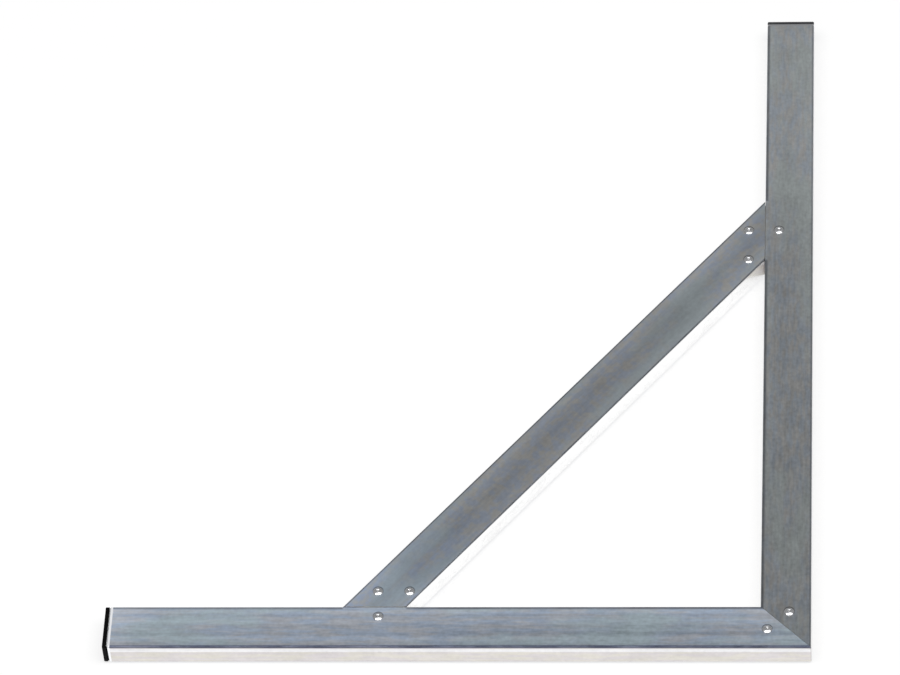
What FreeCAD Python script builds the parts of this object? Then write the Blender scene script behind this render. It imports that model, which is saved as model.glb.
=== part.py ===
import FreeCAD, Part
import os
import Sketcher

# Builder's square: two mitred rectangular tubes at a right angle, stiffened by a diagonal brace.
# It lies flat. The origin is the outer corner (the heel) on the plane that it lies on, the base
# leg runs along -X, the upright leg along +Y, and the broad faces look along +Z and -Z.
# A leg's own frame has its outer edge on X, its inner edge towards +Y, and its heel at the origin.

os.makedirs("parts", exist_ok=True)
doc = FreeCAD.newDocument("builders_square")

DIMENSIONS = [
    ("tube_width", "50", "broad face of the tube"),
    ("tube_depth", "25", "narrow face of the tube"),
    ("tube_wall", "2", "wall thickness"),
    ("tube_arris", "1.5", "outer corner radius of the tube"),
    ("deburr", "1.5", "chamfer round a sawn end that takes a cap"),
    ("base_length", "700", "base leg, heel to sawn end"),
    ("upright_length", "837.5", "upright leg, heel to sawn end"),
    ("mitre_setback", "0.2", "each leg's mitre stands back this far along the leg"),
    ("foot_gap", "0.2", "gap between the brace and the base leg that it butts on"),
    ("head_gap", "0.4", "gap between the brace and the upright"),
    ("brace_foot", "434.3", "heel to the brace's centre line, along the base leg's inner edge"),
    ("brace_head", "542.8", "heel to the brace's centre line, along the upright's inner edge"),
    ("overcut", "10", "how far a cutting outline runs past the tube"),
    ("brace_overhang", "60", "extra tube at each end of the brace before it is sawn"),
    ("hole_radius", "2.5", "drilled rivet hole"),
    ("shank_radius", "2.4", "rivet shank"),
    ("head_radius", "5", "rivet head"),
    ("head_height", "1.6", "rivet head, above the tube's face"),
    ("head_rim", "0.25", "straight rim under the rivet's dome"),
    ("dome_radius", "6.5", "radius of the rivet's dome, seen from the side"),
    ("crater_radius", "1.9", "mouth of the hole in the rivet's head"),
    ("crater_depth", "0.35", "depth of the countersunk mouth"),
    ("bore_radius", "1.35", "hole through the rivet"),
    ("bulb_radius", "3.4", "set end of the rivet behind the plate"),
    ("bulb_length", "4.2", "length of the set end"),
    ("bulb_round", "0.8", "bevel at the end of the set end"),
    ("mandrel_radius", "1.3", "broken-off pin in the rivet"),
    ("mandrel_sink", "0.6", "pin's broken end, below the top of the head"),
    ("mandrel_head_radius", "2.2", "head of the pin"),
    ("mandrel_head_length", "1.6", "head of the pin"),
    ("corner_rivet_along", "43.3", "heel to the corner rivet, along its leg"),
    ("corner_rivet_in", "21.8", "outer edge to the corner rivet"),
    ("foot_leg_rivet_along", "430", "heel to the foot rivet in the base leg"),
    ("foot_leg_rivet_in", "37.4", "outer edge to that rivet"),
    ("foot_rivet_far", "431.7", "heel to the farther foot rivet in the brace"),
    ("foot_rivet_near", "400.1", "heel to the nearer foot rivet in the brace"),
    ("foot_rivet_rise", "18.8", "base leg's inner edge to the foot rivets in the brace"),
    ("head_leg_rivet_along", "542.2", "heel to the head rivet in the upright"),
    ("head_leg_rivet_in", "35.5", "outer edge to that rivet"),
    ("head_rivet_far", "541.7", "heel to the farther head rivet in the brace"),
    ("head_rivet_near", "501.8", "heel to the nearer head rivet in the brace"),
    ("head_rivet_rise", "16.9", "upright's inner edge to the head rivets in the brace"),
    ("plate_thickness", "3", "gusset plate"),
    ("plate_corner", "3", "corner radius of a gusset plate"),
    ("plate_half_width", "22", "half the gusset's width, square across the brace"),
    ("plate_in_leg", "25", "how far a brace gusset reaches into the leg"),
    ("plate_in_brace", "34", "how far it reaches into the brace"),
    ("slot_play", "0.4", "slot wider than its gusset, at each side"),
    ("corner_plate_inset", "3.5", "corner gusset clear of the outer edges"),
    ("corner_plate_leg", "72", "corner gusset along each leg"),
    ("corner_plate_tip", "12", "width of the corner gusset's clipped tips"),
    ("base_cap_flange", "4", "base leg's cap, outside the tube"),
    ("upright_cap_flange", "2.5", "upright's cap, outside the tube"),
    ("cap_edge", "0.9", "rounded edge of the cap"),
    ("cap_plug_length", "18", "cap inside the tube"),
    ("cap_plug_gap", "0.7", "plug clear of the tube all round"),
    ("cap_plug_wall", "2", "wall of the hollow plug"),
    ("cap_rib", "0.55", "height of the plug's ribs"),
    ("cap_rib_width", "1.2", "width of a rib"),
    ("cap_rib_pitch", "4.5", "rib to rib"),
]

# How far the brace leans from the base leg, the free length of its centre line, and the same
# lean seen from each leg.
LEAN = "atan((dims.brace_head - dims.tube_width) / (dims.brace_foot - dims.tube_width))"
SPAN = "sqrt((dims.brace_head - dims.tube_width) ^ 2 + (dims.brace_foot - dims.tube_width) ^ 2)"
LEAN_FROM_UPRIGHT = "(90 deg - " + LEAN + ")"

# Half turn about the square's diagonal: it carries the base leg's frame to the upright's.
UPRIGHT_TURN = FreeCAD.Rotation(FreeCAD.Vector(-1, 1, 0), 180)
UPSIDE_DOWN = FreeCAD.Rotation(FreeCAD.Vector(1, 0, 0), 180)


def make_sheet():
    sheet = doc.addObject("Spreadsheet::Sheet", "dims")
    for row, (alias, value, note) in enumerate(DIMENSIONS, start=1):
        sheet.set("A%d" % row, note)
        sheet.set("B%d" % row, value)
        sheet.setAlias("B%d" % row, alias)
    doc.recompute()


def new_body(label):
    body = doc.addObject("PartDesign::Body", label)
    body.Label = label
    return body


def place(body, x, y, z, rotation=None):
    """Put a sub-part at the point given by three expressions."""
    if rotation is not None:
        body.Placement = FreeCAD.Placement(FreeCAD.Vector(0, 0, 0), rotation)
    for axis, expression in (("x", x), ("y", y), ("z", z)):
        if expression is not None:
            body.setExpression("Placement.Base." + axis, expression)


def new_sketch(body, name, plane, offset=None):
    """A sketch on one of the body's own origin planes, moved by offset (three expressions)."""
    sketch = body.newObject("Sketcher::SketchObject", body.Label + "_" + name)
    origin_plane = [f for f in body.Origin.OriginFeatures if f.Role == plane][0]
    sketch.AttachmentSupport = [(origin_plane, "")]
    sketch.MapMode = "FlatFace"
    if offset is not None:
        for axis, expression in zip("xyz", offset):
            sketch.setExpression("AttachmentOffset.Base." + axis, expression)
    return sketch


def value_of(expression):
    """The number that an expression over the sheet gives."""
    result = doc.getObject("dims").evalExpression(expression)
    return float(getattr(result, "Value", result))


def pin_point(sketch, geometry, end, name, x, y):
    """Tie one end of a sketch line to a point given by two expressions."""
    for kind, expression in (("DistanceX", x), ("DistanceY", y)):
        value = value_of(expression)
        index = sketch.addConstraint(Sketcher.Constraint(kind, -1, 1, geometry, end, value))
        sketch.renameConstraint(index, name + kind[-1])
        sketch.setExpression("Constraints." + name + kind[-1], expression)


def draw_polygon(sketch, points):
    """A closed outline of straight lines through points given as pairs of expressions."""
    corners = [FreeCAD.Vector(value_of(x), value_of(y), 0) for x, y in points]
    first = sketch.GeometryCount
    count = len(corners)
    for i in range(count):
        sketch.addGeometry(Part.LineSegment(corners[i], corners[(i + 1) % count]), False)
    for i in range(count):
        following = first + (i + 1) % count
        sketch.addConstraint(Sketcher.Constraint("Coincident", first + i, 2, following, 1))
    for i, (x, y) in enumerate(points):
        pin_point(sketch, first + i, 1, "corner%d" % (first + i), x, y)


def draw_rectangle(sketch, x0, y0, x1, y1):
    draw_polygon(sketch, [(x0, y0), (x1, y0), (x1, y1), (x0, y1)])


def draw_circles(sketch, points, radius):
    for i, (x, y) in enumerate(points):
        centre = FreeCAD.Vector(value_of(x), value_of(y), 0)
        circle = Part.Circle(centre, FreeCAD.Vector(0, 0, 1), value_of(radius))
        index = sketch.addGeometry(circle, False)
        pin_point(sketch, index, 3, "centre%d" % i, x, y)
        tie = sketch.addConstraint(Sketcher.Constraint("Radius", index, value_of(radius)))
        sketch.renameConstraint(tie, "radius%d" % i)
        sketch.setExpression("Constraints.radius%d" % i, radius)


def pad(body, sketch, length, backwards=False):
    feature = body.newObject("PartDesign::Pad", sketch.Label + "_pad")
    feature.Profile = sketch
    feature.Reversed = backwards
    feature.setExpression("Length", length)
    sketch.Visibility = False
    doc.recompute()
    return feature


def pocket(body, sketch, length, backwards):
    """Cut the sketch out of the body, and make sure that it took something away."""
    before = body.Shape.Volume
    feature = body.newObject("PartDesign::Pocket", sketch.Label + "_pocket")
    feature.Profile = sketch
    feature.Reversed = backwards
    feature.setExpression("Length", length)
    doc.recompute()
    if body.Shape.Volume >= before - 1e-6:
        raise RuntimeError(feature.Label + " cuts nothing")
    return feature


def edge_names(shape, wanted):
    return ["Edge%d" % i for i, edge in enumerate(shape.Edges, start=1) if wanted(edge)]


def dress(body, kind, base, names, size_name, expression):
    """A fillet or chamfer on the named edges of the feature it follows."""
    feature = body.newObject("PartDesign::" + kind, body.Label + "_" + kind.lower())
    feature.Base = (base, names)
    feature.setExpression(size_name, expression)
    doc.recompute()
    return feature


def runs_along_x(edge):
    start, end = edge.Vertexes[0].Point, edge.Vertexes[-1].Point
    return abs(start.x - end.x) > 1 and abs(start.y - end.y) + abs(start.z - end.z) < 1e-6


def stands_up(edge):
    start, end = edge.Vertexes[0].Point, edge.Vertexes[-1].Point
    return abs(start.z - end.z) > 1 and abs(start.x - end.x) + abs(start.y - end.y) < 1e-6


def drill(body, points):
    """Rivet holes through both broad walls."""
    sketch = new_sketch(body, "rivet_holes", "XY_Plane")
    draw_circles(sketch, points, "dims.hole_radius")
    pocket(body, sketch, "dims.tube_depth", backwards=True)


def slot_inner_wall(body, name, along, half_width, low, high):
    """A slot through a leg's inner wall, where a gusset passes into the brace."""
    sketch = new_sketch(body, name, "XZ_Plane", ("0", "0", "-dims.tube_width"))
    draw_rectangle(
        sketch,
        "-(%s) - (%s) - dims.slot_play" % (along, half_width),
        low,
        "-(%s) + (%s) + dims.slot_play" % (along, half_width),
        high,
    )
    pocket(body, sketch, "dims.tube_wall + 0.01", backwards=True)


def gusset_half(lean):
    """Half the gusset's width measured along the leg."""
    return "dims.plate_half_width / sin(%s)" % lean


def make_leg(label, length, along, lean, leg_rivet):
    """A leg in its own frame: tube, mitre, slots for the gussets, rivet holes, deburred end."""
    body = new_body(label)
    section = new_sketch(body, "section", "YZ_Plane")
    draw_rectangle(section, "0", "0", "dims.tube_width", "dims.tube_depth")
    bar = pad(body, section, length, backwards=True)
    arrises = edge_names(bar.Shape, runs_along_x)
    rounded = dress(body, "Fillet", bar, arrises, "Radius", "dims.tube_arris")
    end_x = -value_of(length)
    end_edges = edge_names(rounded.Shape, lambda e: abs(e.BoundBox.XMin - end_x) < 1e-6
                           and e.BoundBox.XLength < 1e-6)
    dress(body, "Chamfer", rounded, end_edges, "Size", "dims.deburr")

    hollow = new_sketch(body, "hollow", "YZ_Plane")
    draw_rectangle(hollow, "dims.tube_wall", "dims.tube_wall",
                   "dims.tube_width - dims.tube_wall", "dims.tube_depth - dims.tube_wall")
    pocket(body, hollow, length, backwards=False)

    mitre = new_sketch(body, "mitre", "XY_Plane")
    draw_polygon(mitre, [
        ("dims.overcut - dims.mitre_setback", "-dims.overcut"),
        ("dims.overcut - dims.mitre_setback", "dims.tube_width + dims.overcut"),
        ("-dims.tube_width - dims.overcut - dims.mitre_setback", "dims.tube_width + dims.overcut"),
    ])
    pocket(body, mitre, "dims.tube_depth", backwards=True)

    near_plate = "dims.tube_wall + dims.plate_thickness + dims.slot_play / 2"
    slot_inner_wall(body, "slot_low", along, gusset_half(lean), "dims.tube_wall", near_plate)
    slot_inner_wall(body, "slot_high", along, gusset_half(lean),
                    "dims.tube_depth - (%s)" % near_plate, "dims.tube_depth - dims.tube_wall")
    drill(body, [("-dims.corner_rivet_along", "dims.corner_rivet_in"), leg_rivet])
    return body


def in_brace_frame(x, y):
    """A point of the square's plan, as expressions in the brace's own frame."""
    dx = "(%s + dims.brace_foot)" % x
    dy = "(%s - dims.tube_width)" % y
    return ("%s * cos(%s) + %s * sin(%s)" % (dx, LEAN, dy, LEAN),
            "%s * cos(%s) - %s * sin(%s)" % (dy, LEAN, dx, LEAN))


def make_brace():
    """The diagonal tube: X runs up its centre line, and each end is sawn to meet its leg."""
    body = new_body("brace")
    section = new_sketch(body, "section", "YZ_Plane", ("0", "0", "-dims.brace_overhang"))
    draw_rectangle(section, "-dims.tube_width / 2", "0", "dims.tube_width / 2", "dims.tube_depth")
    raw_length = SPAN + " + 2 * dims.brace_overhang"
    bar = pad(body, section, raw_length)
    arrises = edge_names(bar.Shape, runs_along_x)
    dress(body, "Fillet", bar, arrises, "Radius", "dims.tube_arris")

    hollow = new_sketch(body, "hollow", "YZ_Plane", ("0", "0", "-dims.brace_overhang"))
    draw_rectangle(hollow, "-dims.tube_width / 2 + dims.tube_wall", "dims.tube_wall",
                   "dims.tube_width / 2 - dims.tube_wall", "dims.tube_depth - dims.tube_wall")
    pocket(body, hollow, raw_length, backwards=True)

    side = "(dims.tube_width / 2 + dims.overcut)"
    foot_end = "-dims.brace_overhang - dims.overcut"
    foot_cut = new_sketch(body, "foot_cut", "XY_Plane")
    draw_polygon(foot_cut, [
        ("(dims.foot_gap + %s * cos(%s)) / sin(%s)" % (side, LEAN, LEAN), "-" + side),
        ("(dims.foot_gap - %s * cos(%s)) / sin(%s)" % (side, LEAN, LEAN), side),
        (foot_end, side),
        (foot_end, "-" + side),
    ])
    pocket(body, foot_cut, "dims.tube_depth", backwards=True)

    head_end = SPAN + " + dims.brace_overhang + dims.overcut"
    head_cut = new_sketch(body, "head_cut", "XY_Plane")
    draw_polygon(head_cut, [
        ("%s - (dims.head_gap + %s * sin(%s)) / cos(%s)" % (SPAN, side, LEAN, LEAN), "-" + side),
        ("%s - (dims.head_gap - %s * sin(%s)) / cos(%s)" % (SPAN, side, LEAN, LEAN), side),
        (head_end, side),
        (head_end, "-" + side),
    ])
    pocket(body, head_cut, "dims.tube_depth", backwards=True)

    drill(body, [in_brace_frame(x, y) for x, y in FOOT_RIVETS[1:] + HEAD_RIVETS[1:]])
    place(body, "-dims.brace_foot", "dims.tube_width", "dims.head_height")
    body.setExpression("Placement.Rotation.Angle", LEAN)
    return body


def finish_plate(body, outline, holes):
    """Thicken a gusset's outline, round its corners and drill it."""
    blank = pad(body, outline, "dims.plate_thickness")
    corners = edge_names(blank.Shape, stands_up)
    dress(body, "Fillet", blank, corners, "Radius", "dims.plate_corner")
    drilled = new_sketch(body, "holes", "XY_Plane")
    draw_circles(drilled, holes, "dims.hole_radius")
    pocket(body, drilled, "dims.plate_thickness", backwards=True)


def make_corner_plate(label, z):
    body = new_body(label)
    outline = new_sketch(body, "outline", "XY_Plane")
    inset = "dims.corner_plate_inset"
    tip = "(dims.corner_plate_inset + dims.corner_plate_tip)"
    far = "(dims.corner_plate_inset + dims.corner_plate_leg)"
    draw_polygon(outline, [
        ("-" + inset, inset),
        ("-" + inset, far),
        ("-" + tip, far),
        ("-" + far, tip),
        ("-" + far, inset),
    ])
    finish_plate(body, outline, CORNER_RIVETS)
    place(body, None, None, z)
    return body


def make_brace_plate(label, along, lean, holes, z, rotation=None):
    """A brace gusset in its leg's frame: square inside the leg, leaning inside the brace."""
    body = new_body(label)
    outline = new_sketch(body, "outline", "XY_Plane")
    half = gusset_half(lean)
    shift = "dims.plate_in_brace / tan(%s)" % lean
    bottom = "dims.tube_width - dims.plate_in_leg"
    top = "dims.tube_width + dims.plate_in_brace"
    draw_polygon(outline, [
        ("-%s - %s" % (along, half), bottom),
        ("-%s + %s" % (along, half), bottom),
        ("-%s + %s" % (along, half), "dims.tube_width"),
        ("-%s + %s + %s" % (along, half, shift), top),
        ("-%s - %s + %s" % (along, half, shift), top),
        ("-%s - %s" % (along, half), "dims.tube_width"),
    ])
    finish_plate(body, outline, holes)
    place(body, None, None, z, rotation)
    return body


def make_cap(label, thickness):
    """An end cap whose flange covers the tube's end and whose ribbed plug goes inside it."""
    body = new_body(label)
    face = new_sketch(body, "flange", "YZ_Plane")
    draw_rectangle(face, "0", "0", "dims.tube_width", "dims.tube_depth")
    flange = pad(body, face, thickness, backwards=True)
    corners = edge_names(flange.Shape, runs_along_x)
    rounded = dress(body, "Fillet", flange, corners, "Radius", "dims.tube_arris")
    outer_x = -value_of(thickness)
    rim = edge_names(rounded.Shape, lambda e: abs(e.BoundBox.XMin - outer_x) < 1e-6
                     and e.BoundBox.XLength < 1e-6)
    dress(body, "Fillet", rounded, rim, "Radius", "dims.cap_edge")

    near = "(dims.tube_wall + dims.cap_plug_gap)"
    plug = new_sketch(body, "plug", "YZ_Plane")
    draw_rectangle(plug, near, near, "dims.tube_width - " + near, "dims.tube_depth - " + near)
    pad(body, plug, "dims.cap_plug_length")

    rib_near = "(dims.tube_wall + dims.cap_plug_gap - dims.cap_rib)"
    for i in range(1, 4):
        rib = new_sketch(body, "rib%d" % i, "YZ_Plane", ("0", "0", "%d * dims.cap_rib_pitch" % i))
        draw_rectangle(rib, rib_near, rib_near,
                       "dims.tube_width - " + rib_near, "dims.tube_depth - " + rib_near)
        pad(body, rib, "dims.cap_rib_width")

    inside = "(dims.tube_wall + dims.cap_plug_gap + dims.cap_plug_wall)"
    hollow = new_sketch(body, "hollow", "YZ_Plane", ("0", "0", "dims.cap_plug_length"))
    draw_rectangle(hollow, inside, inside,
                   "dims.tube_width - " + inside, "dims.tube_depth - " + inside)
    pocket(body, hollow, "dims.cap_plug_length", backwards=False)
    return body


def revolve(body, sketch):
    feature = body.newObject("PartDesign::Revolution", sketch.Label + "_turned")
    feature.Profile = sketch
    feature.ReferenceAxis = (sketch, ["V_Axis"])
    feature.Angle = 360
    doc.recompute()
    return feature


def make_rivets(label, points, z, rotation=None):
    """Set blind rivets of one joint and face: z = 0 is the tube's face, and heads stand above it."""
    body = new_body(label)
    body.AllowCompound = True
    grip = "(dims.tube_wall + dims.plate_thickness)"
    for i, (x, y) in enumerate(points):
        sketch = new_sketch(body, "profile%d" % i, "XZ_Plane", (x, "0", "-(%s)" % y))
        draw_polygon_with_dome(sketch, [
            ("dims.head_radius", "dims.head_rim"),
            ("dims.head_radius", "0"),
            ("dims.shank_radius", "0"),
            ("dims.shank_radius", "-" + grip),
            ("dims.bulb_radius", "-" + grip),
            ("dims.bulb_radius", "-%s - dims.bulb_length + dims.bulb_round" % grip),
            ("dims.bulb_radius - dims.bulb_round", "-%s - dims.bulb_length" % grip),
            ("dims.bore_radius", "-%s - dims.bulb_length" % grip),
            ("dims.bore_radius", "dims.head_height - dims.crater_depth"),
            ("dims.crater_radius", "dims.head_height"),
        ])
        revolve(body, sketch)
    place(body, None, None, z, rotation)
    return body


def draw_polygon_with_dome(sketch, points):
    """Straight lines through the points, closed from the last to the first by a domed arc."""
    corners = [FreeCAD.Vector(value_of(x), value_of(y), 0) for x, y in points]
    last = len(corners) - 1
    for i in range(last):
        sketch.addGeometry(Part.LineSegment(corners[i], corners[i + 1]), False)
    radius = value_of("dims.dome_radius")
    chord = corners[0] - corners[last]
    outward = FreeCAD.Vector(-chord.y, chord.x, 0).normalize()
    sagitta = radius - (radius ** 2 - (chord.Length / 2) ** 2) ** 0.5
    crown = (corners[0] + corners[last]) * 0.5 + outward * sagitta
    sketch.addGeometry(Part.Arc(corners[last], crown, corners[0]), False)
    for i in range(last - 1):
        sketch.addConstraint(Sketcher.Constraint("Coincident", i, 2, i + 1, 1))
    for i in range(last):
        pin_point(sketch, i, 1, "corner%d" % i, *points[i])
    pin_point(sketch, last - 1, 2, "corner%d" % last, *points[last])
    close_arc(sketch, last, corners[last])
    tie = sketch.addConstraint(Sketcher.Constraint("Radius", last, radius))
    sketch.renameConstraint(tie, "dome")
    sketch.setExpression("Constraints.dome", "dims.dome_radius")


def close_arc(sketch, arc, line_end):
    """Join the arc's two ends to the last line's end and the first line's start."""
    starts_at_line_end = sketch.getPoint(arc, 1).distanceToPoint(line_end) < 1e-6
    near, far = (1, 2) if starts_at_line_end else (2, 1)
    sketch.addConstraint(Sketcher.Constraint("Coincident", arc - 1, 2, arc, near))
    sketch.addConstraint(Sketcher.Constraint("Coincident", 0, 1, arc, far))


def make_mandrels(label, points, z, rotation=None):
    """The steel pins left in one group of rivets, in the rivets' own frame."""
    body = new_body(label)
    body.AllowCompound = True
    tip = "dims.head_height - dims.mandrel_sink"
    ball_top = "-dims.tube_wall - dims.plate_thickness - dims.bulb_length"
    for i, (x, y) in enumerate(points):
        sketch = new_sketch(body, "profile%d" % i, "XZ_Plane", (x, "0", "-(%s)" % y))
        draw_polygon(sketch, [
            ("0", tip),
            ("0", ball_top + " - dims.mandrel_head_length"),
            ("dims.mandrel_head_radius", ball_top + " - dims.mandrel_head_length"),
            ("dims.mandrel_head_radius", ball_top),
            ("dims.mandrel_radius", ball_top),
            ("dims.mandrel_radius", tip),
        ])
        revolve(body, sketch)
    place(body, None, None, z, rotation)
    return body


def mirrored(points):
    """The same points seen from the other face, after the half turn about X."""
    return [(x, "-(%s)" % y) for x, y in points]


# Rivet centres in the square's plan. Each brace joint has one rivet in the leg and two in the brace.
CORNER_RIVETS = [
    ("-dims.corner_rivet_along", "dims.corner_rivet_in"),
    ("-dims.corner_rivet_in", "dims.corner_rivet_along"),
]
FOOT_RIVETS = [
    ("-dims.foot_leg_rivet_along", "dims.foot_leg_rivet_in"),
    ("-dims.foot_rivet_far", "(dims.tube_width + dims.foot_rivet_rise)"),
    ("-dims.foot_rivet_near", "(dims.tube_width + dims.foot_rivet_rise)"),
]
HEAD_RIVETS = [
    ("-dims.head_leg_rivet_in", "dims.head_leg_rivet_along"),
    ("-(dims.tube_width + dims.head_rivet_rise)", "dims.head_rivet_far"),
    ("-(dims.tube_width + dims.head_rivet_rise)", "dims.head_rivet_near"),
]
# The head joint's rivets in the upright's own frame.
HEAD_RIVETS_IN_LEG = [
    ("-dims.head_leg_rivet_along", "dims.head_leg_rivet_in"),
    ("-dims.head_rivet_far", "(dims.tube_width + dims.head_rivet_rise)"),
    ("-dims.head_rivet_near", "(dims.tube_width + dims.head_rivet_rise)"),
]

FACE_Z = "dims.head_height + dims.tube_depth"
FRONT_PLATE_Z = "dims.head_height + dims.tube_depth - dims.tube_wall - dims.plate_thickness"
BACK_PLATE_Z = "dims.head_height + dims.tube_wall"


def build_square():
    make_sheet()
    parts = []

    base = make_leg("base_leg", "dims.base_length", "dims.brace_foot", LEAN, FOOT_RIVETS[0])
    place(base, None, None, "dims.head_height")
    upright = make_leg("upright_leg", "dims.upright_length", "dims.brace_head",
                       LEAN_FROM_UPRIGHT, HEAD_RIVETS_IN_LEG[0])
    place(upright, None, None, FACE_Z, UPRIGHT_TURN)
    parts += [base, upright, make_brace()]

    base_cap = make_cap("base_end_cap", "dims.base_cap_flange")
    place(base_cap, "-dims.base_length", None, "dims.head_height")
    upright_cap = make_cap("upright_end_cap", "dims.upright_cap_flange")
    place(upright_cap, None, "dims.upright_length", FACE_Z, UPRIGHT_TURN)
    parts += [base_cap, upright_cap]

    for side, z in (("front", FRONT_PLATE_Z), ("back", BACK_PLATE_Z)):
        turned_z = z + " + dims.plate_thickness"
        parts.append(make_corner_plate("corner_gusset_" + side, z))
        parts.append(make_brace_plate("foot_gusset_" + side, "dims.brace_foot", LEAN,
                                      FOOT_RIVETS, z))
        parts.append(make_brace_plate("head_gusset_" + side, "dims.brace_head",
                                      LEAN_FROM_UPRIGHT, HEAD_RIVETS_IN_LEG,
                                      turned_z, UPRIGHT_TURN))

    joints = (("corner", CORNER_RIVETS), ("foot", FOOT_RIVETS), ("head", HEAD_RIVETS))
    for joint, points in joints:
        parts.append(make_rivets(joint + "_rivets_front", points, FACE_Z))
        parts.append(make_mandrels(joint + "_mandrels_front", points, FACE_Z))
        seen_below = mirrored(points)
        parts.append(make_rivets(joint + "_rivets_back", seen_below,
                                 "dims.head_height", UPSIDE_DOWN))
        parts.append(make_mandrels(joint + "_mandrels_back", seen_below,
                                   "dims.head_height", UPSIDE_DOWN))
    return parts


def check_document(parts):
    doc.recompute()
    for item in doc.Objects:
        if "Invalid" in item.State or "Error" in item.State:
            raise RuntimeError(item.Label + " failed: " + str(item.State))
    for item in parts:
        if item.Shape.isNull() or not item.Shape.isValid():
            raise RuntimeError(item.Label + " has no valid shape")


def write_parts(parts):
    for item in parts:
        item.Shape.exportStep(os.path.join("parts", item.Label + ".step"))
        solids = len(item.Shape.Solids)
        print("%-24s %d solid(s) %9.1f mm3" % (item.Label, solids, item.Shape.Volume))


square = build_square()
check_document(square)
write_parts(square)
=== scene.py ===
import math
import random

import bmesh
import bpy
from mathutils import Matrix, Vector


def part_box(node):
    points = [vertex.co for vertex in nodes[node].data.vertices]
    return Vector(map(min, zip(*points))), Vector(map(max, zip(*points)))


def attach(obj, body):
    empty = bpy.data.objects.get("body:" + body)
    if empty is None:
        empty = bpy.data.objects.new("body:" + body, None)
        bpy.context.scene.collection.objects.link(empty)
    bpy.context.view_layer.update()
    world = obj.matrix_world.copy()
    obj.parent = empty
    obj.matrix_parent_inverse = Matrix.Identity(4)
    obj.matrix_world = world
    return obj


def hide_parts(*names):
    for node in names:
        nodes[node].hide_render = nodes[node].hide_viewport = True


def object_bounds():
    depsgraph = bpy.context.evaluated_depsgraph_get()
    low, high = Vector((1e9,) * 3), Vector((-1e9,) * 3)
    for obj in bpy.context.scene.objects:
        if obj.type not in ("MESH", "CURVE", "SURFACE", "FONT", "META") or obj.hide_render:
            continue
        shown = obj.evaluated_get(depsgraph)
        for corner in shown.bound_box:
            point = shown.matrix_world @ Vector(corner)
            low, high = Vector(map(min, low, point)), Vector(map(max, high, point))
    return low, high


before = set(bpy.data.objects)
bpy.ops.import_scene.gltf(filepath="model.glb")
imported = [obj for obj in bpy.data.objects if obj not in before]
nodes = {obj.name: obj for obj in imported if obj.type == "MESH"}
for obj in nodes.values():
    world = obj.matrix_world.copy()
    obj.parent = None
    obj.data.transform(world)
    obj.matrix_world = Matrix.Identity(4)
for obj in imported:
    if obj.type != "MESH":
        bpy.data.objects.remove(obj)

# A builder's square lying flat: two mitred tubes and a brace, riveted to plates inside them.
# The CAD tubes, plates and caps stay and get their finishes here. The blind rivets and their
# broken pins are modelled again with rounder shapes.

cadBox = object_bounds()


# small helpers

def addNode(tree, kind, inputs=None, **settings):
    made = tree.nodes.new("ShaderNode" + kind)
    for key, value in settings.items():
        setattr(made, key, value)
    for key, value in (inputs or {}).items():
        if isinstance(value, bpy.types.NodeSocket):
            tree.links.new(value, made.inputs[key])
        else:
            made.inputs[key].default_value = value
    return made


def doMath(tree, operation, first, second=0.0):
    return addNode(tree, "Math", {0: first, 1: second}, operation=operation).outputs[0]


def remap(tree, value, low, high, toLow=0.0, toHigh=1.0):
    # low to high becomes toLow to toHigh, with soft ends
    return addNode(tree, "MapRange", {"Value": value, "From Min": low, "From Max": high,
                                      "To Min": toLow, "To Max": toHigh},
                   interpolation_type="SMOOTHSTEP").outputs[0]


def fraction(tree, value, half):
    # -half to half becomes 0 to 1
    return addNode(tree, "MapRange", {"Value": value, "From Min": -half,
                                      "From Max": half}).outputs[0]


def mixValue(tree, factor, first, second):
    return addNode(tree, "Mix", {0: factor, 2: first, 3: second}).outputs[0]


def mixColour(tree, factor, first, second, blend="MIX"):
    return addNode(tree, "Mix", {0: factor, 6: first, 7: second}, data_type="RGBA",
                   blend_type=blend).outputs[2]


def noise(tree, coords, stretch, detail=3.0, rough=0.5):
    moved = addNode(tree, "Mapping", {"Vector": coords, "Scale": stretch})
    return addNode(tree, "TexNoise", {"Vector": moved.outputs[0], "Scale": 1.0,
                                      "Detail": detail, "Roughness": rough}).outputs[0]


def addBump(tree, shader, height, distance, strength):
    bump = addNode(tree, "Bump", {"Height": height, "Distance": distance, "Strength": strength})
    tree.links.new(bump.outputs[0], shader.inputs["Normal"])


def newMaterial(name):
    material = bpy.data.materials.new(name)
    material.use_nodes = True
    tree = material.node_tree
    return material, tree, tree.nodes["Principled BSDF"]


def dress(nodeName, material):
    for slot in nodes[nodeName].material_slots:
        slot.material = material


def addPiece(name, shape, material):
    # a bmesh with its place in its points becomes an object at the origin
    mesh = bpy.data.meshes.new(name)
    shape.to_mesh(mesh)
    shape.free()
    piece = bpy.data.objects.new(name, mesh)
    bpy.context.collection.objects.link(piece)
    mesh.materials.append(material)
    return piece


def solidCentres(nodeName, apart=0.012):
    # the plan centres of a node's separate solids, which stand further apart than this
    groups = []
    for vertex in nodes[nodeName].data.vertices:
        spot = vertex.co.xy
        for group in groups:
            if (group[0] - spot).length < apart:
                group.append(spot.copy())
                break
        else:
            groups.append([spot.copy()])
    centres = []
    for group in groups:
        xs = [spot.x for spot in group]
        ys = [spot.y for spot in group]
        centres.append(Vector(((min(xs) + max(xs)) / 2, (min(ys) + max(ys)) / 2, 0)))
    return centres


# tubes: mill aluminium with die lines along them and cloudy oxide, with painted dark shade
# along the arrises and a painted highlight band under it

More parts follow.
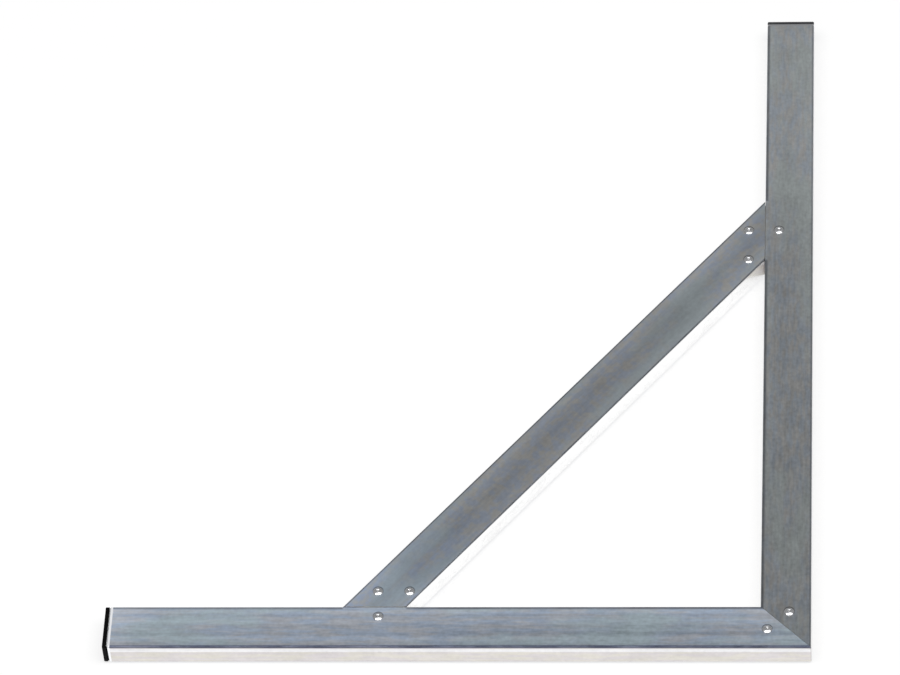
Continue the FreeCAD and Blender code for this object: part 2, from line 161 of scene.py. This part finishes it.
tube = {
    "halfWidth": 0.025,
    "halfDepth": 0.0125,
    "streaks": {  # how fine along, across and through the tube, then detail and roughness
        "fine": ((2.5, 520, 520), 2.0, 0.5),
        "die": ((1.2, 130, 130), 3.0, 0.6),
        "dash": ((70, 380, 380), 2.0, 0.5),
        "cloud": ((9, 26, 26), 4.0, 0.6),
        "patch": ((34, 70, 70), 3.0, 0.6),
        "grain": ((260, 260, 260), 2.0, 0.5),
    },
    "sideStreaks": {"fine": 0.20, "cloud": 0.22, "patch": 0.22, "grain": 0.16},
    "broadFrom": (0.45, 0.75),  # how level a face is where the narrow finish gives way
    "halfway": (0.35, 0.6),  # where the outer half gives way to the inner one
    "mottleEdge": (0.36, 0.64),
    "tarnishEdge": (0.48, 0.66),
    "lineEdge": (0.6, 1.4),  # the painted arris shade's soft edge, in parts of its width
    "lineWorn": 0.72,  # strength of the painted arris shade that is left where it is patchy
    "lineFadeRun": (0.30, 0.50),  # the inner painted arris shade is faint up to here, and full from here
    "buttEdge": 0.002,  # soft edge of the stretch where another tube butts
    "buttDepth": 0.01,  # how far in from the middle it counts as the inner edge
    "burnish": (0.0030, 0.0046, 0.0074, 0.0092),  # painted highlight band on the narrow face under the arris shade, fades in and out
    "grime": 0.60,  # how dark the painted shade and dirt round the rivets is
    "grimeRing": (0.0049, 0.0059),  # from a head's centre to where it is full and where it ends
    "grimeShift": 0.0010,  # how far towards +Y of the head it sits, away from the lamp, as a painted shadow
    "endBand": 0.0040,  # filed band at a capped end, on the base pale and partly a painted highlight
    "endBandEdge": 0.0006,
    "bevelRough": 0.16,  # roughness of the bevel at that end
    "bevelLevel": (0.8, 0.95),  # a face counts as the bevel up to here, and not from here
    "bluing": (0.95, 1.0, 1.08, 1),  # tint of a blued tube end
    "bluedRun": (0.12, 0.30),  # the tint is full up to here, and gone from here
    "rough": 0.38,
    "roughSpread": 0.02,
    "lineBump": 0.00004,
    "bumpStrength": 0.35,
}


def addWeighted(tree, total, pattern, weight):
    # total plus weight times (pattern - 0.5)
    part = addNode(tree, "Math", {0: pattern, 1: weight, 2: -weight / 2}, operation="MULTIPLY_ADD")
    return doMath(tree, "ADD", total, part.outputs[0])


def shade(tree, total, mask, depth):
    # total times (1 - depth) where the mask is 1
    factor = addNode(tree, "Math", {0: mask, 1: -depth, 2: 1.0}, operation="MULTIPLY_ADD")
    return doMath(tree, "MULTIPLY", total, factor.outputs[0])


def toneRamp(tree, value, stops):
    # value from 0 to 1 becomes a grey factor, smoothly through the stops
    ramp = addNode(tree, "ValToRGB", {0: value})
    ramp.color_ramp.interpolation = "EASE"
    elements = ramp.color_ramp.elements
    while len(elements) < len(stops):
        elements.new(0.5)
    for element, (place, grey) in zip(elements, stops):
        element.position = place
        element.color = (grey, grey, grey, 1)
    return ramp.outputs[0]


def nearSpots(tree, coords, spots, inner, outer):
    # 1 within inner of any of the plan points, 0 past outer
    flat = addNode(tree, "VectorMath", {0: coords, 1: (1, 1, 0)}, operation="MULTIPLY").outputs[0]
    nearest = None
    for spot in spots:
        gap = addNode(tree, "VectorMath", {0: flat, 1: spot}, operation="DISTANCE")
        away = gap.outputs["Value"]
        nearest = away if nearest is None else doMath(tree, "MINIMUM", nearest, away)
    return remap(tree, nearest, inner, outer, 1.0, 0.0)


def tubePlaces(tree, angle, middle, length):
    # where a point lies on a tube: angle turns X onto it, and middle is on its centre line
    space = addNode(tree, "TexCoord")
    coords = space.outputs["Object"]
    turn = Matrix.Rotation(-angle, 3, "Z")
    along = addNode(tree, "Mapping", {"Vector": coords, "Rotation": (0, 0, -angle),
                                      "Location": -(turn @ Vector(middle))}).outputs[0]
    x, y, z = addNode(tree, "SeparateXYZ", {0: along}).outputs
    facing = addNode(tree, "SeparateXYZ", {0: space.outputs["Normal"]})
    level = doMath(tree, "ABSOLUTE", facing.outputs[2])
    broad = remap(tree, level, *tube["broadFrom"])
    # a broad face counts on either side, a narrow one from the upper arris down
    height = mixValue(tree, broad, z, doMath(tree, "ABSOLUTE", z))
    return {
        "coords": coords, "along": along, "x": x, "y": y, "level": level, "broad": broad,
        "run": fraction(tree, x, length / 2),
        "side": fraction(tree, y, tube["halfWidth"]),
        "isInner": doMath(tree, "GREATER_THAN", y, 0.0),
        "inset": doMath(tree, "SUBTRACT", tube["halfWidth"], doMath(tree, "ABSOLUTE", y)),
        "drop": doMath(tree, "SUBTRACT", tube["halfDepth"], height)}


def tubeTone(tree, look, place, streaks):
    # lightness of the metal: bands across the tube, stages along it, and the streaks
    lengthTone = mixValue(tree, remap(tree, place["side"], *tube["halfway"]),
                          toneRamp(tree, place["run"], look["outerLength"]),
                          toneRamp(tree, place["run"], look["innerLength"]))
    broadTone = doMath(tree, "MULTIPLY", toneRamp(tree, place["side"], look["bands"]), lengthTone)
    for name, streak in streaks.items():
        broadTone = addWeighted(tree, broadTone, streak, look[name])
    sideTone = 1.0
    for name, weight in tube["sideStreaks"].items():
        sideTone = addWeighted(tree, sideTone, streaks[name], weight)
    return mixValue(tree, place["broad"], sideTone, broadTone)


def paintedArrisShade(tree, look, place, streaks, butt):
    # painted dark shade, a stand-in for a dark reflection, runs along each arris of the broad
    # faces and over the upper two
    width, strength = [mixValue(tree, place["isInner"], outer, inner)
                       for outer, inner in (look["lineWidth"], look["lineDepth"])]
    fromCorner = doMath(tree, "ADD", place["inset"], place["drop"])
    line = remap(tree, doMath(tree, "DIVIDE", fromCorner, width), *tube["lineEdge"], 1.0, 0.0)
    unevenShade = remap(tree, streaks["patch"], 0.3, 0.7, tube["lineWorn"], 1.0)
    strength = doMath(tree, "MULTIPLY", strength, unevenShade)
    if look["lineFade"]:
        faint = remap(tree, place["run"], *tube["lineFadeRun"], look["lineFade"], 0.0)
        strength = shade(tree, strength, doMath(tree, "MULTIPLY", place["isInner"], faint), 1.0)
    line = doMath(tree, "MULTIPLY", line, strength)
    if butt:  # the painted arris shade is left out where another tube butts on the inner edge
        low, high = butt
        edge = tube["buttEdge"]
        past = remap(tree, place["x"], low - edge, low + edge)
        before = remap(tree, place["x"], high - edge, high + edge, 1.0, 0.0)
        inner = remap(tree, place["y"], 0.0, tube["buttDepth"])
        covered = doMath(tree, "MULTIPLY", doMath(tree, "MULTIPLY", past, before), inner)
        line = doMath(tree, "MULTIPLY", line, remap(tree, covered, 0, 1, 1.0, 0.0))
    return line


def tubeHue(tree, look, place, streaks, line):
    # mottled broad faces, narrow faces with a painted highlight band under the painted arris shade,
    # and that shade
    mottle = noise(tree, place["along"], look["mottle"], detail=2.0)
    mottled = remap(tree, mottle, *tube["mottleEdge"])
    broadHue = mixColour(tree, mottled, look["cool"], look["warm"])
    tarnished = remap(tree, streaks["cloud"], *tube["tarnishEdge"])
    broadHue = mixColour(tree, tarnished, broadHue, look["tarnish"])
    if look["blued"]:
        blued = remap(tree, place["run"], *tube["bluedRun"], look["blued"], 0.0)
        broadHue = mixColour(tree, blued, broadHue, tube["bluing"], "MULTIPLY")
    # a painted highlight band on the narrow face, just below the painted arris shade
    fadeIn, full, fading, gone = tube["burnish"]
    paintedHighlightMask = doMath(tree, "MULTIPLY", remap(tree, place["drop"], fadeIn, full),
                       remap(tree, place["drop"], fading, gone, 1.0, 0.0))
    sideHue = mixColour(tree, mottled, look["side"], look["sideWarm"])
    sideHue = mixColour(tree, paintedHighlightMask, sideHue, look["burnish"])
    hue = mixColour(tree, place["broad"], sideHue, broadHue)
    # the painted arris shade gets its own darker, bluish hue, a stand-in for a dark reflection
    lineHue = mixColour(tree, place["isInner"], look["lineHue"], look["innerHue"])
    return mixColour(tree, line, hue, lineHue)


def millFinish(name, look, angle, middle, length, spots, butt=None):
    # spots are the tube's rivets, butt is the stretch of its own X where another tube butts on it
    material, tree, shader = newMaterial(name)
    place = tubePlaces(tree, angle, middle, length)
    streaks = {key: noise(tree, place["along"], *shape) for key, shape in tube["streaks"].items()}
    line = paintedArrisShade(tree, look, place, streaks, butt)
    # the painted dark shade along the arrises darkens the tone there
    tone = shade(tree, tubeTone(tree, look, place, streaks), line, 1.0)
    # painted shadow and dirt round the rivet heads on the broad faces, set towards +Y, away from
    # the lamp
    shadowShift = Vector((0, tube["grimeShift"], 0))
    shadeAndDirt = nearSpots(tree, place["coords"], [spot + shadowShift for spot in spots], *tube["grimeRing"])
    tone = shade(tree, tone, doMath(tree, "MULTIPLY", shadeAndDirt, place["broad"]), tube["grime"])
    hue = tubeHue(tree, look, place, streaks, line)
    rough = remap(tree, streaks["die"], 0.3, 0.7, tube["rough"] - tube["roughSpread"],
                  tube["rough"] + tube["roughSpread"])
    rough = mixValue(tree, place["broad"], look["sideRough"], rough)

    shader.inputs["Metallic"].default_value = 1.0
    if look["cap"]:
        start = length / 2 - tube["endBand"]
        filed = remap(tree, place["x"], look["cap"] * start,
                      look["cap"] * (start + tube["endBandEdge"]))
        hue = mixColour(tree, filed, hue, look["filed"])
        tone = mixValue(tree, filed, tone, 1.0)
        steep = remap(tree, place["level"], *tube["bevelLevel"], 1.0, 0.0)
        rough = mixValue(tree, doMath(tree, "MULTIPLY", filed, steep), rough, tube["bevelRough"])
        if look["filedMetal"] < 1:  # the rough filed end scatters light like a pale paint; on the base this pale band is partly a painted highlight beside the cap
            cutEndHighlightFace = doMath(tree, "MULTIPLY", filed, place["broad"])
            tree.links.new(mixValue(tree, cutEndHighlightFace, 1.0, look["filedMetal"]), shader.inputs["Metallic"])

    grey = addNode(tree, "CombineColor", {0: tone, 1: tone, 2: tone})
    tree.links.new(mixColour(tree, 1.0, hue, grey.outputs[0], "MULTIPLY"),
                   shader.inputs["Base Color"])
    tree.links.new(rough, shader.inputs["Roughness"])
    addBump(tree, shader, streaks["fine"], tube["lineBump"], tube["bumpStrength"])
    shader.inputs["Anisotropic"].default_value = look["anisotropy"]
    shader.inputs["Anisotropic Rotation"].default_value = 0.25  # a quarter turn
    direction = addNode(tree, "VectorTransform", {0: (math.cos(angle), math.sin(angle), 0)},
                        vector_type="VECTOR", convert_from="OBJECT", convert_to="WORLD")
    tree.links.new(direction.outputs[0], shader.inputs["Tangent"])
    return material


# Each tube's own X runs along it. Outer is its own -Y side and inner its +Y side, which on the
# legs are the outside and the inside of the square. Bands go across a broad face from outer to
# inner, outerLength and innerLength go along its two halves from the start of X, and the words
# from fine to grain weigh the streaks. The painted dark shade along the arrises has values for
# the outer and the inner arris, and its fade is how much of the inner one is missing at the start
# of X; blued is how blue the metal is there. cap is the capped end: -1 is the start, 1 the far
# end and 0 neither. Then come the colour of the filed band at that end and how metallic it is;
# on the base that band is pale and less metallic, partly a painted highlight beside the cap.
baseLook = {
    "cool": (0.48, 0.565, 0.70, 1), "warm": (0.56, 0.59, 0.65, 1),
    "tarnish": (0.505, 0.605, 0.665, 1), "side": (0.765, 0.73, 0.735, 1),
    "sideWarm": (0.80, 0.77, 0.71, 1), "burnish": (0.93, 0.93, 0.95, 1),
    "bands": ((0.0, 0.76), (0.08, 0.80), (0.13, 0.86), (0.17, 0.86), (0.22, 0.92), (0.32, 0.76),
              (0.42, 0.90), (0.5, 0.885), (0.6, 1.0), (0.64, 1.03), (0.72, 0.96), (0.79, 0.955),
              (0.87, 1.05), (1.0, 1.06)),
    "outerLength": ((0.0, 1.24), (0.07, 1.10), (0.38, 1.06), (0.55, 0.90), (0.85, 0.88),
                    (0.95, 0.96), (1.0, 0.98)),
    "innerLength": ((0.0, 1.30), (0.08, 1.05), (0.4, 0.99), (0.7, 0.95), (1.0, 1.0)),
    "fine": 0.10, "die": 0.08, "dash": 0.38, "cloud": 0.18, "patch": 0.26, "grain": 0.30,
    "lineWidth": (0.0021, 0.0031), "lineDepth": (0.80, 0.70), "lineFade": 0.22,
    "lineHue": (0.46, 0.51, 0.78, 1), "innerHue": (0.49, 0.54, 0.65, 1),
    "mottle": (34, 210, 210), "blued": 0.0, "sideRough": 0.38, "anisotropy": 0.6,
    "cap": -1, "filed": (0.97, 0.98, 1.0, 1), "filedMetal": 0.3}
uprightLength = ((0.0, 0.84), (0.24, 0.875), (0.45, 0.955), (0.6, 1.0), (0.76, 1.18),
                 (0.84, 1.22), (1.0, 1.23))
uprightLook = {
    "cool": (0.60, 0.66, 0.73, 1), "warm": (0.67, 0.675, 0.67, 1),
    "tarnish": (0.62, 0.675, 0.675, 1), "side": (0.765, 0.73, 0.735, 1),
    "sideWarm": (0.80, 0.77, 0.71, 1), "burnish": (0.93, 0.93, 0.95, 1),
    "bands": ((0.0, 1.01), (0.2, 0.97), (0.6, 0.96), (1.0, 0.99)),
    "outerLength": uprightLength, "innerLength": uprightLength,
    "fine": 0.12, "die": 0.09, "dash": 0.36, "cloud": 0.30, "patch": 0.36, "grain": 0.38,
    "lineWidth": (0.0018, 0.0028), "lineDepth": (0.46, 0.60), "lineFade": 0.0,
    "lineHue": (0.58, 0.64, 0.72, 1), "innerHue": (0.60, 0.64, 0.72, 1),
    "mottle": (50, 170, 170), "blued": 0.0, "sideRough": 0.38, "anisotropy": 0.6,
    "cap": 1, "filed": (0.72, 0.73, 0.76, 1), "filedMetal": 1.0}
braceLength = ((0.0, 1.24), (0.07, 1.22), (0.13, 1.01), (0.22, 0.95), (0.5, 0.97), (0.7, 1.03),
               (0.85, 1.17), (0.93, 1.12), (1.0, 1.05))
braceLook = {
    "cool": (0.515, 0.572, 0.672, 1), "warm": (0.60, 0.60, 0.587, 1),
    "tarnish": (0.53, 0.595, 0.625, 1), "side": (0.98, 0.98, 0.98, 1),
    "sideWarm": (0.98, 0.98, 0.98, 1), "burnish": (1.0, 1.0, 1.0, 1),
    "bands": ((0.0, 1.05), (0.12, 0.96), (0.25, 0.88), (0.36, 0.86), (0.5, 0.84), (0.7, 0.92),
              (0.88, 1.03), (1.0, 1.12)),
    "outerLength": braceLength, "innerLength": braceLength,
    "fine": 0.08, "die": 0.06, "dash": 0.12, "cloud": 0.16, "patch": 0.24, "grain": 0.22,
    "lineWidth": (0.0013, 0.0021), "lineDepth": (0.74, 0.66), "lineFade": 0.0,
    "lineHue": (0.44, 0.47, 0.55, 1), "innerHue": (0.44, 0.47, 0.55, 1),
    "mottle": (110, 130, 130), "blued": 1.0, "sideRough": 0.20, "anisotropy": 0.5,
    "cap": 0}


def finishTubes():
    # the brace's far edge is the diagonal of its box, and its centre line runs beside it
    baseLow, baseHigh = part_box("base_leg")
    upLow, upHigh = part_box("upright_leg")
    foot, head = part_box("brace")
    lean = math.atan2(head.y - foot.y, head.x - foot.x)
    beside = Vector((math.sin(lean), -math.cos(lean), 0)) * tube["halfWidth"]
    spots = {joint: solidCentres(joint + "_rivets_front") for joint in ("corner", "foot", "head")}
    baseMiddle = (baseLow + baseHigh) / 2
    upMiddle = (upLow + upHigh) / 2
    footWidth = 2 * tube["halfWidth"] / math.sin(lean)  # of the brace's sawn end, along the leg
    headWidth = 2 * tube["halfWidth"] / math.cos(lean)
    dress("base_leg", millFinish("baseLegMetal", baseLook, 0.0, baseMiddle,
                                 baseHigh.x - baseLow.x, spots["corner"] + spots["foot"],
                                 (foot.x - baseMiddle.x, foot.x + footWidth - baseMiddle.x)))
    dress("upright_leg", millFinish("uprightMetal", uprightLook, math.pi / 2, upMiddle,
                                    upHigh.y - upLow.y, spots["corner"] + spots["head"],
                                    (head.y - headWidth - upMiddle.y, head.y - upMiddle.y)))
    dress("brace", millFinish("braceMetal", braceLook, lean, (foot + head) / 2 + beside,
                              (head - foot).length, spots["foot"] + spots["head"]))
    print("tubes finished")


# blind rivets

rivet = {
    "headRadius": 0.0050,
    "headHeight": 0.0016,
    "rim": 0.00025,
    "crownSlope": 0.42,  # parts of the dome's rise that fall straight and in a curve
    "crownCurve": 0.46,
    "edgePower": 16,  # the rest falls at the rounded edge
    "domeSteps": 14,
    "boreRadius": 0.00135,
    "craterRadius": 0.0019,
    "craterDepth": 0.00035,
    "craterLip": (0.00015, 0.00008),  # in from the crater's edge and down from the head's top
    "shankRadius": 0.0024,
    "grip": 0.0050,
    "bulbRadius": 0.0034,
    "bulbLength": 0.0042,
    "bulbShoulder": (0.0002, 0.0003),  # in from the bulb's side and down from its top
    "bulbRound": ((0.0, 0.0009), (0.0004, 0.0003), (0.0009, 0.0)),  # in from side, up from end
    "turns": 40,
    "sharpFrom": 50,  # degrees
    "bright": (0.86, 0.87, 0.89, 1),
    "dim": (0.70, 0.71, 0.73, 1),
    "dull": (0.56, 0.565, 0.57, 1),  # darker at the rim, where the head meets the tube
    "dullHeight": (0.0002, 0.0005),  # above the tube, where the darker rim gives way to the polish
    "speckle": 900,
    "rough": (0.16, 0.24),
}


def spinOutline(shape, outline, turns):
    # a closed outline of (radius, height) pairs becomes a turned solid round Z; gives its points
    start = len(shape.verts)
    ring = [shape.verts.new((radius, 0, height)) for radius, height in outline]
    edges = [shape.edges.new((ring[i], ring[(i + 1) % len(ring)])) for i in range(len(ring))]
    bmesh.ops.spin(shape, geom=ring + edges, axis=(0, 0, 1), cent=(0, 0, 0), dvec=(0, 0, 0),
                   angle=2 * math.pi, steps=turns, use_merge=True, use_duplicate=False)
    shape.verts.ensure_lookup_table()
    return shape.verts[start:]


def stand(shape, points, centre, level, faceUp):
    # the turned solid's height 0 goes to the tube's face, turned over on the back face
    if not faceUp:
        bmesh.ops.rotate(shape, verts=points, cent=(0, 0, 0),
                         matrix=Matrix.Rotation(math.pi, 3, "X"))
    bmesh.ops.translate(shape, verts=points, vec=centre + Vector((0, 0, level)))


def rivetOutline():
    # from the bore's mouth over the dome, under the head and round the set end
    r = rivet
    lipIn, lipDown = r["craterLip"]
    outline = [(r["boreRadius"], r["headHeight"] - r["craterDepth"]),
               (r["craterRadius"] - lipIn, r["headHeight"] - lipDown)]
    span = r["headRadius"] - r["craterRadius"]
    rise = r["headHeight"] - r["rim"]
    edgeFall = 1 - r["crownSlope"] - r["crownCurve"]
    for i in range(r["domeSteps"] + 1):
        out = math.sin(math.pi / 2 * i / r["domeSteps"])
        fall = (r["crownSlope"] * out + r["crownCurve"] * out ** 2
                + edgeFall * out ** r["edgePower"])
        outline.append((r["craterRadius"] + span * out, r["rim"] + rise * (1 - fall)))
    shoulderIn, shoulderDown = r["bulbShoulder"]
    end = r["grip"] + r["bulbLength"]
    outline += [(r["headRadius"], 0.0), (r["shankRadius"], 0.0), (r["shankRadius"], -r["grip"]),
                (r["bulbRadius"] - shoulderIn, -r["grip"]),
                (r["bulbRadius"], -r["grip"] - shoulderDown)]
    outline += [(r["bulbRadius"] - inwards, -end + up) for inwards, up in r["bulbRound"]]
    return outline + [(r["boreRadius"], -end)]


def faceLevel(jointName, faceUp):
    # the height of the tube's face under a joint's rivet heads
    low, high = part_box(jointName + ("_rivets_front" if faceUp else "_rivets_back"))
    return high.z - rivet["headHeight"] if faceUp else low.z + rivet["headHeight"]


def makeRivets(nodeName, material):
    faceUp = nodeName.endswith("front")
    level = faceLevel(nodeName.split("_")[0], faceUp)
    shape = bmesh.new()
    for centre in solidCentres(nodeName):
        stand(shape, spinOutline(shape, rivetOutline(), rivet["turns"]), centre, level, faceUp)
    bmesh.ops.recalc_face_normals(shape, faces=shape.faces)
    piece = addPiece(nodeName + "_set", shape, material)
    piece.data.shade_smooth()
    piece.data.set_sharp_from_angle(angle=math.radians(rivet["sharpFrom"]))
    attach(piece, "root")
    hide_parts(nodeName)


def rivetMetal():
    # polished heads, darker at the rim where they meet the tube
    material, tree, shader = newMaterial("rivetMetal")
    coords = addNode(tree, "TexCoord").outputs["Object"]
    speckle = noise(tree, coords, [rivet["speckle"]] * 3, detail=3.0)
    tint = mixColour(tree, remap(tree, speckle, 0.3, 0.7), rivet["bright"], rivet["dim"])
    height = addNode(tree, "SeparateXYZ", {0: coords}).outputs[2]
    fromMiddle = doMath(tree, "SUBTRACT", height, (cadBox[0].z + cadBox[1].z) / 2)
    face = (cadBox[1].z - cadBox[0].z) / 2 - rivet["headHeight"]
    low, high = rivet["dullHeight"]
    dull = remap(tree, doMath(tree, "ABSOLUTE", fromMiddle), face + low, face + high, 1.0, 0.0)
    tree.links.new(mixColour(tree, dull, tint, rivet["dull"]), shader.inputs["Base Color"])
    tree.links.new(remap(tree, speckle, 0.3, 0.7, *rivet["rough"]), shader.inputs["Roughness"])
    shader.inputs["Metallic"].default_value = 1.0
    return material


# steel pins that broke off in the rivets

pin = {
    "radius": 0.0013,
    "waist": 0.0010,  # where the pin necked down before it broke
    "neck": 0.0007,  # length of the necked stretch
    "tear": 0.00022,  # unevenness of the broken face
    "ballRadius": 0.0022,
    "ballLength": 0.0016,
    "ballShoulder": (0.0003, 0.0004),  # in from the ball's side and down from its top
    "ballRound": ((1.0, 0.0006), (0.8, 0.0001)),  # parts of its radius, and up from its end
    "turns": 24,
    "bright": (0.50, 0.50, 0.51, 1),
    "torn": (0.72, 0.72, 0.72, 1),
    "grain": 1800,
    "grainBump": 0.0003,
    "bumpStrength": 0.8,
    "rough": 0.45,
}


def pinOutline(tip, ballEnd):
    # from the broken face down the pin and round its ball
    shoulderIn, shoulderDown = pin["ballShoulder"]
    ballTop = ballEnd + pin["ballLength"]
    outline = [(0.0, tip - pin["tear"]), (pin["waist"] * 0.5, tip - pin["tear"]),
               (pin["waist"], tip), (pin["radius"], tip - pin["neck"]), (pin["radius"], ballTop),
               (pin["ballRadius"] - shoulderIn, ballTop),
               (pin["ballRadius"], ballTop - shoulderDown)]
    outline += [(pin["ballRadius"] * part, ballEnd + up) for part, up in pin["ballRound"]]
    return outline + [(0.0, ballEnd)]


def makePins(nodeName, material):
    faceUp = nodeName.endswith("front")
    level = faceLevel(nodeName.split("_")[0], faceUp)
    low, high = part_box(nodeName)
    tip = (high.z - level) if faceUp else (level - low.z)
    ballEnd = (low.z - level) if faceUp else (level - high.z)
    chance = random.Random(nodeName)
    shape = bmesh.new()
    for centre in solidCentres(nodeName):
        points = spinOutline(shape, pinOutline(tip, ballEnd), pin["turns"])
        for point in points:  # the broken face is torn, below its highest rim
            if point.co.z > tip - 2 * pin["tear"] and point.co.xy.length > 1e-6:
                point.co.z -= pin["tear"] * chance.random()
        stand(shape, points, centre, level, faceUp)
    bmesh.ops.remove_doubles(shape, verts=shape.verts, dist=1e-6)
    bmesh.ops.recalc_face_normals(shape, faces=shape.faces)
    piece = addPiece(nodeName + "_broken", shape, material)
    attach(piece, "root")
    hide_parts(nodeName)


def pinMetal():
    material, tree, shader = newMaterial("brokenPinSteel")
    coords = addNode(tree, "TexCoord").outputs["Object"]
    grain = noise(tree, coords, [pin["grain"]] * 3, detail=4.0)
    tint = mixColour(tree, remap(tree, grain, 0.35, 0.65), pin["bright"], pin["torn"])
    tree.links.new(tint, shader.inputs["Base Color"])
    addBump(tree, shader, grain, pin["grainBump"], pin["bumpStrength"])
    shader.inputs["Metallic"].default_value = 1.0
    shader.inputs["Roughness"].default_value = pin["rough"]
    return material


# gusset plates, hidden in the tubes

plate = {
    "spangle": 160,
    "dark": (0.50, 0.52, 0.54, 1),
    "pale": (0.66, 0.67, 0.68, 1),
    "rough": (0.32, 0.48),
}


def plateMetal():
    material, tree, shader = newMaterial("zincPlate")
    coords = addNode(tree, "TexCoord").outputs["Object"]
    spangle = addNode(tree, "TexVoronoi", {"Vector": coords, "Scale": plate["spangle"]})
    flakes = addNode(tree, "SeparateColor", {0: spangle.outputs["Color"]}).outputs[0]
    tint = mixColour(tree, flakes, plate["dark"], plate["pale"])
    tree.links.new(tint, shader.inputs["Base Color"])
    tree.links.new(remap(tree, flakes, 0, 1, *plate["rough"]), shader.inputs["Roughness"])
    shader.inputs["Metallic"].default_value = 1.0
    return material


# end caps, the upright's worn grey

cap = {
    "base": ((0.002, 0.002, 0.0022, 1), (0.006, 0.006, 0.0065, 1)),  # clean and scuffed plastic
    "upright": ((0.065, 0.066, 0.070, 1), (0.12, 0.12, 0.125, 1)),
    "scuffs": (60, 160, 160),
    "rough": (0.42, 0.60),
    "grain": 1500,
    "grainBump": 0.00006,
    "bumpStrength": 0.4,
    "shine": 0.06,
}


def capPlastic(leg):
    material, tree, shader = newMaterial(leg + "CapPlastic")
    coords = addNode(tree, "TexCoord").outputs["Object"]
    scuffs = noise(tree, coords, cap["scuffs"], detail=4.0, rough=0.6)
    clean, scuffed = cap[leg]
    tint = mixColour(tree, remap(tree, scuffs, 0.5, 0.75), clean, scuffed)
    tree.links.new(tint, shader.inputs["Base Color"])
    tree.links.new(remap(tree, scuffs, 0.35, 0.7, *cap["rough"]), shader.inputs["Roughness"])
    addBump(tree, shader, noise(tree, coords, [cap["grain"]] * 3, detail=3.0), cap["grainBump"],
            cap["bumpStrength"])
    shader.inputs["Specular IOR Level"].default_value = cap["shine"]
    return material


def finishSmallParts():
    shine, steel, zinc = rivetMetal(), pinMetal(), plateMetal()
    for name in list(nodes):
        if "rivets" in name:
            makeRivets(name, shine)
        elif "mandrels" in name:
            makePins(name, steel)
        elif "gusset" in name:
            dress(name, zinc)
        elif name.endswith("cap"):
            dress(name, capPlastic(name.split("_")[0]))
    print("rivets, pins, plates and caps finished")


# floor, room and light

studio = {
    "floorHalf": 60.0,
    "floorGap": 0.0002,  # under the square
    "floorTone": (0.36, 0.36, 0.36, 1),
    "floorRough": 0.9,
    "floorGlow": 0.69,
    "sky": ((0.0, 0.62), (0.10, 0.36), (0.30, 0.28), (0.77, 0.31), (1.0, 0.31)),  # by height
    "bankSize": (9.0, 3.0),
    "bankPower": 300,
    "bankAzimuth": 7,
    "bankElevation": 78,
    "bankDistance": 6.0,
}


def makeFloor():
    shape = bmesh.new()
    bmesh.ops.create_grid(shape, x_segments=1, y_segments=1, size=studio["floorHalf"])
    bmesh.ops.translate(shape, verts=shape.verts, vec=(0, 0, cadBox[0].z - studio["floorGap"]))
    material, tree, shader = newMaterial("paleFloor")
    shader.inputs["Base Color"].default_value = studio["floorTone"]
    shader.inputs["Roughness"].default_value = studio["floorRough"]
    shader.inputs["Specular IOR Level"].default_value = 0.0
    path = addNode(tree, "LightPath")
    seen = doMath(tree, "MAXIMUM", path.outputs["Is Camera Ray"], path.outputs["Is Glossy Ray"])
    seen = doMath(tree, "MAXIMUM", seen, path.outputs["Is Transmission Ray"])
    glow = doMath(tree, "MULTIPLY", seen, studio["floorGlow"])
    shader.inputs["Emission Color"].default_value = (1, 1, 1, 1)
    tree.links.new(glow, shader.inputs["Emission Strength"])
    addPiece("floor", shape, material)


def makeWorld():
    # a plain room: pale at the horizon, mid grey above
    world = bpy.data.worlds.new("studioRoom")
    world.use_nodes = True
    tree = world.node_tree
    direction = addNode(tree, "TexCoord").outputs["Generated"]
    height = addNode(tree, "SeparateXYZ", {0: direction}).outputs[2]
    tree.links.new(toneRamp(tree, height, studio["sky"]), tree.nodes["Background"].inputs["Color"])
    bpy.context.scene.world = world


def aimFrom(azimuth, elevation):
    # the direction towards something seen at this azimuth, where 0 is the -Y side
    a, e = math.radians(azimuth), math.radians(elevation)
    return Vector((math.sin(a) * math.cos(e), -math.cos(a) * math.cos(e), math.sin(e)))


def makeLightBank():
    light = bpy.data.lights.new("overheadBank", "AREA")
    light.shape = "RECTANGLE"
    light.size, light.size_y = studio["bankSize"]
    light.energy = studio["bankPower"]
    lamp = bpy.data.objects.new("overheadBank", light)
    away = aimFrom(studio["bankAzimuth"], studio["bankElevation"])
    middle = (cadBox[0] + cadBox[1]) / 2
    lamp.matrix_world = (Matrix.Translation(middle + away * studio["bankDistance"])
                         @ away.to_track_quat("Z", "Y").to_matrix().to_4x4())
    bpy.context.collection.objects.link(lamp)


# camera

view = {
    "azimuth": 6.74,
    "elevation": 50.09,
    "roll": -5.42,
    "distance": 5.802,
    "lens": 224.2,
    "sensor": 36,
    "aim": (-0.3745, 0.3984, 0.0263),
    "clipEnd": 200,
}


def makeCamera():
    back = aimFrom(view["azimuth"], view["elevation"])
    turn = back.to_track_quat("Z", "Y").to_matrix().to_4x4()
    roll = Matrix.Rotation(math.radians(view["roll"]), 4, "Z")
    camera = bpy.data.objects.new("camera", bpy.data.cameras.new("camera"))
    camera.data.lens = view["lens"]
    camera.data.sensor_width = view["sensor"]
    camera.data.clip_end = view["clipEnd"]
    place = Matrix.Translation(Vector(view["aim"]) + back * view["distance"])
    camera.matrix_world = place @ turn @ roll
    bpy.context.collection.objects.link(camera)
    bpy.context.scene.camera = camera


finishTubes()
finishSmallParts()
makeFloor()
makeWorld()
makeLightBank()
makeCamera()
bpy.context.scene.view_settings.view_transform = "Standard"
print("floor, light and camera made")
